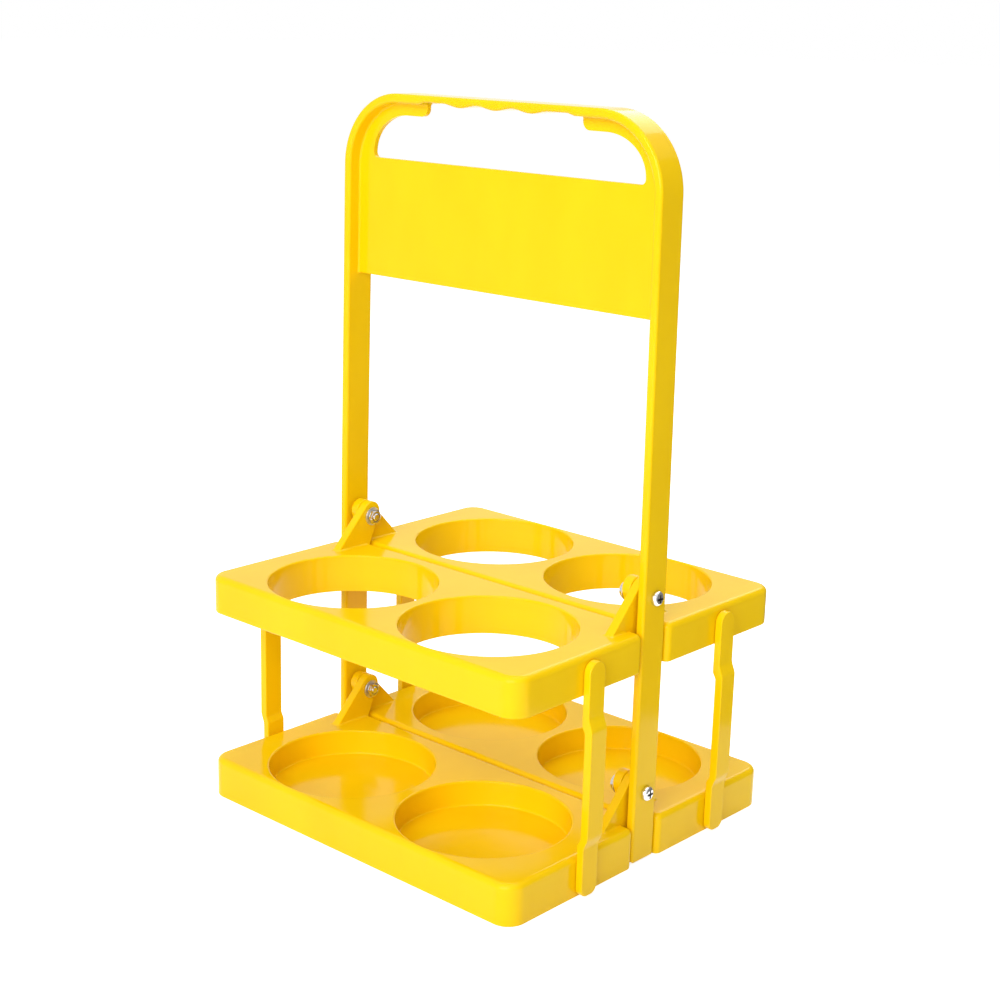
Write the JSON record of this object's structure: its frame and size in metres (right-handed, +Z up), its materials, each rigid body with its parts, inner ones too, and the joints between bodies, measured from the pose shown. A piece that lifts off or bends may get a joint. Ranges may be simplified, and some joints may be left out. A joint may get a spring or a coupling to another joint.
{
  "type": "cup carrier",
  "caption": "Folding takeaway cup carrier: hinged half trays with cup holes above and recesses below, joined by side links, on an upright frame with a hand hole and grip.",
  "frame": {"origin": "middle of the footprint, on the surface that the open carrier stands on", "axes": "+Z up along the posts to the grip, +X from post to post along the hinge bolts, -Y towards the front half trays"},
  "size_m": [0.2168, 0.1918, 0.348],
  "materials": {
    "frame_plastic": "glossy saturated yellow moulding",
    "tray_plastic": "glossy saturated yellow moulding",
    "link_plastic": "glossy saturated yellow moulding",
    "bolt_chrome": "bright plated",
    "washer_steel": "plated, slightly dull",
    "nut_steel": "plated, slightly dull"
  },
  "bodies": {
    "frame": {"handle_frame": "frame_plastic", "bolt_upper_right": "bolt_chrome", "bolt_upper_left": "bolt_chrome", "bolt_lower_right": "bolt_chrome", "bolt_lower_left": "bolt_chrome", "washer_upper_right": "washer_steel", "washer_upper_left": "washer_steel", "washer_lower_right": "washer_steel", "washer_lower_left": "washer_steel", "nut_upper_right": "nut_steel", "nut_upper_left": "nut_steel", "nut_lower_right": "nut_steel", "nut_lower_left": "nut_steel"},
    "upper_front": {"upper_front_tray": "tray_plastic"},
    "upper_back": {"upper_back_tray": "tray_plastic"},
    "lower_front": {"lower_front_tray": "tray_plastic"},
    "lower_back": {"lower_back_tray": "tray_plastic"},
    "front_right_link": {"link_front_right": "link_plastic"},
    "front_left_link": {"link_front_left": "link_plastic"},
    "back_left_link": {"link_back_left": "link_plastic"},
    "back_right_link": {"link_back_right": "link_plastic"}
  },
  "joints": [
    {"name": "upper_front_fold", "type": "hinge", "parent": "frame", "child": "upper_front", "pos_m": [0, 0, 0.1312], "axis": [-1, 0, 0], "range_deg": [0, 90]},
    {"name": "upper_back_fold", "type": "hinge", "parent": "frame", "child": "upper_back", "pos_m": [0, 0, 0.1312], "axis": [1, 0, 0], "range_deg": [0, 90]},
    {"name": "lower_front_fold", "type": "hinge", "parent": "frame", "child": "lower_front", "pos_m": [0, 0, 0.035], "axis": [-1, 0, 0], "range_deg": [0, 90]},
    {"name": "lower_back_fold", "type": "hinge", "parent": "frame", "child": "lower_back", "pos_m": [0, 0, 0.035], "axis": [1, 0, 0], "range_deg": [0, 90]},
    {"name": "link_front_right_swing", "type": "hinge", "parent": "upper_front", "child": "front_right_link", "pos_m": [0.1022, -0.0464, 0.1084], "axis": [1, 0, 0], "range_deg": [0, 90]},
    {"name": "link_front_left_swing", "type": "hinge", "parent": "upper_front", "child": "front_left_link", "pos_m": [-0.1022, -0.0517, 0.1084], "axis": [1, 0, 0], "range_deg": [0, 90]},
    {"name": "link_back_left_swing", "type": "hinge", "parent": "upper_back", "child": "back_left_link", "pos_m": [-0.1022, 0.0464, 0.1084], "axis": [-1, 0, 0], "range_deg": [0, 90]},
    {"name": "link_back_right_swing", "type": "hinge", "parent": "upper_back", "child": "back_right_link", "pos_m": [0.1022, 0.0517, 0.1084], "axis": [-1, 0, 0], "range_deg": [0, 90]}
  ],
  "couplings": [
    {"joint": "lower_front_fold", "follows": "upper_front_fold", "ratio": 1},
    {"joint": "link_front_right_swing", "follows": "upper_front_fold", "ratio": 1},
    {"joint": "link_front_left_swing", "follows": "upper_front_fold", "ratio": 1},
    {"joint": "lower_back_fold", "follows": "upper_back_fold", "ratio": 1},
    {"joint": "link_back_left_swing", "follows": "upper_back_fold", "ratio": 1},
    {"joint": "link_back_right_swing", "follows": "upper_back_fold", "ratio": 1}
  ]
}
